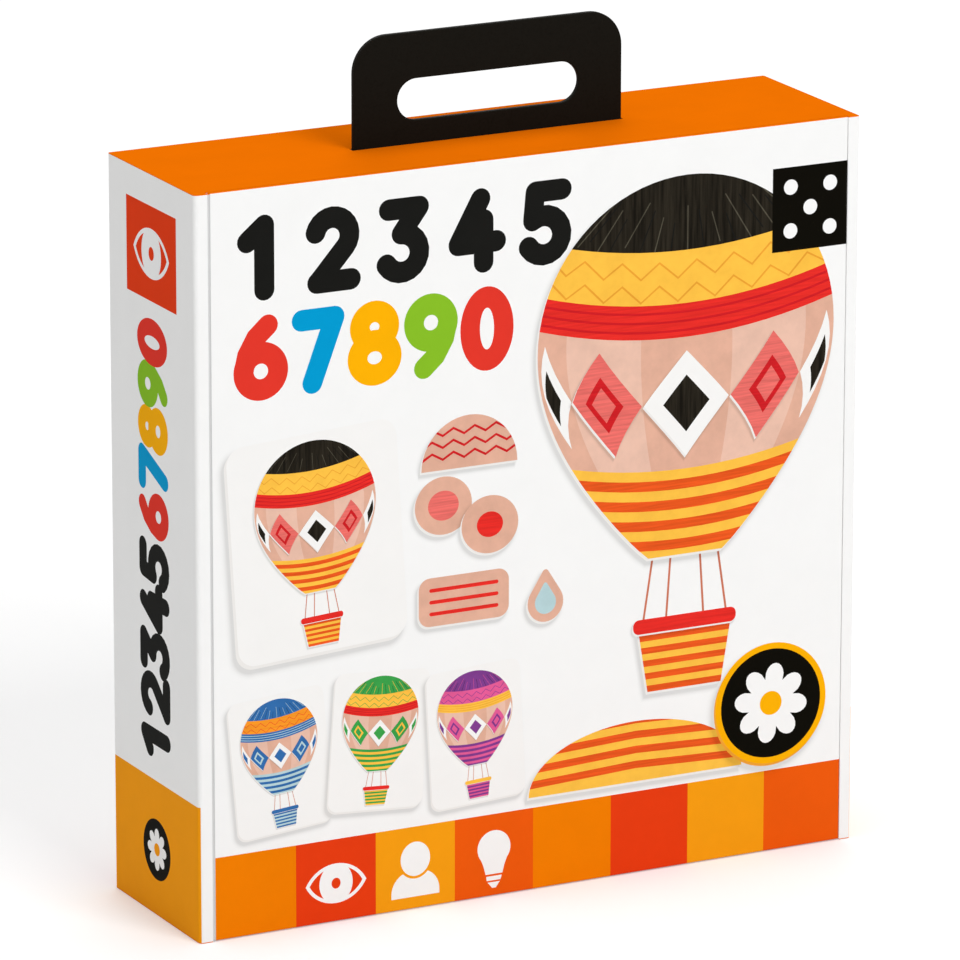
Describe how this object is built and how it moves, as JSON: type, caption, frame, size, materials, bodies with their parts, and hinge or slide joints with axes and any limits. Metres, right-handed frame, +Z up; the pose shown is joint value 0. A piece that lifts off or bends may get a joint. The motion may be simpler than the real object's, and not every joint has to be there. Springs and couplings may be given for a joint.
{
  "type": "children's picture game box",
  "caption": "Upright carry box with a hinged front cover and a sliding black top handle, holding cards and die-cut picture pieces in a card insert.",
  "frame": {"origin": "centre of the box's footprint, on the surface that it stands on", "axes": "+Z up along the box's height, -Y towards the printed front cover, +X to the right of that front"},
  "size_m": [0.242, 0.065, 0.287],
  "materials": {
    "greyboard": "raw grey board",
    "white_paper": "satin coated print paper",
    "orange_paper": "satin coated print paper",
    "front_print": "satin coated print paper with a colour print",
    "lining_paper": "plain uncoated paper",
    "magnet": "nickel plated disc",
    "handle_plastic": "fine matt black sheet",
    "insert_card": "white folding card",
    "card_print": "varnished picture card",
    "piece_print": "printed die-cut board",
    "leaflet_paper": "thin folded paper"
  },
  "bodies": {
    "tray": {"spine_board": "greyboard", "right_board": "greyboard", "back_board": "greyboard", "bottom_board": "greyboard", "top_board": "greyboard", "hinge_lip": "greyboard", "closure_strip": "greyboard", "closure_lip": "greyboard", "tray_magnets": "magnet", "side_wrap": "white_paper", "top_wrap": "orange_paper", "bottom_wrap": "orange_paper", "insert_shelf": "insert_card", "insert_floor": "insert_card", "insert_sides": "insert_card", "insert_deck": "insert_card", "insert_ribs": "insert_card", "upright_divider": "insert_card", "left_dividers": "insert_card", "right_divider": "insert_card", "split_divider": "insert_card", "picture_cards": "card_print", "disc_pieces": "piece_print", "bar_pieces": "piece_print", "drop_pieces": "piece_print", "dome_pieces": "piece_print", "base_pieces": "piece_print", "round_boards": "piece_print", "rules_leaflet": "leaflet_paper"},
    "cover": {"cover_board": "greyboard", "cover_print": "front_print", "cover_lining": "lining_paper", "cover_magnets": "magnet"},
    "handle": {"handle_plate": "handle_plastic"}
  },
  "joints": [
    {"name": "cover_hinge", "type": "hinge", "parent": "tray", "child": "cover", "pos_m": [-0.1158, -0.0326, 0.125], "axis": [0, 0, -1], "range_deg": [0, 180]},
    {"name": "handle_slide", "type": "slide", "parent": "tray", "child": "handle", "axis": [0, 0, 1], "range_m": [-0.032, 0]}
  ]
}
